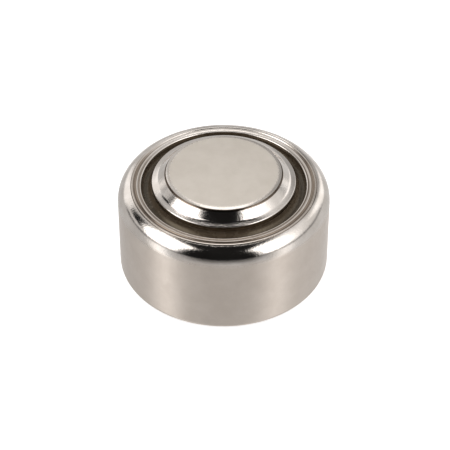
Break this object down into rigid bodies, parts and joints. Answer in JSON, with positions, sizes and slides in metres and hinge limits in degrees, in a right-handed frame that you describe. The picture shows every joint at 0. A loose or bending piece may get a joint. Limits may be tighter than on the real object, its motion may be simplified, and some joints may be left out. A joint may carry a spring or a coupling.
{
  "type": "hearing aid battery",
  "caption": "Zinc-air button cell for a hearing aid: crimped nickel-plated can, insulating gasket and stepped cap, with its electrode discs inside.",
  "frame": {"origin": "centre of the base of the can, on the surface that the cell stands on", "axes": "+Z along the cell's axis, from the air holes of the can towards the contact disc of the cap; X through one air hole"},
  "size_m": [0.0116, 0.0116, 0.0063],
  "materials": {
    "can_plating": "satin nickel plating, polished on the crimped shoulder",
    "cap_plating": "satin nickel plating, polished on the step",
    "gasket_nylon": "smoky translucent nylon, glossy",
    "diffusion_paper": "porous",
    "membrane_film": "soft white film",
    "cathode_carbon": "pressed carbon, matt",
    "mesh_nickel": "woven nickel",
    "separator_film": "fine fibrous film",
    "zinc_gel": "grey metal powder in clear gel"
  },
  "bodies": {
    "root": {"cathode_can": "can_plating", "diffusion_paper": "diffusion_paper", "air_membrane": "membrane_film", "air_cathode": "cathode_carbon", "collector_mesh": "mesh_nickel", "separator": "separator_film", "gasket": "gasket_nylon", "anode_cap": "cap_plating", "zinc_gel": "zinc_gel"}
  },
  "joints": []
}
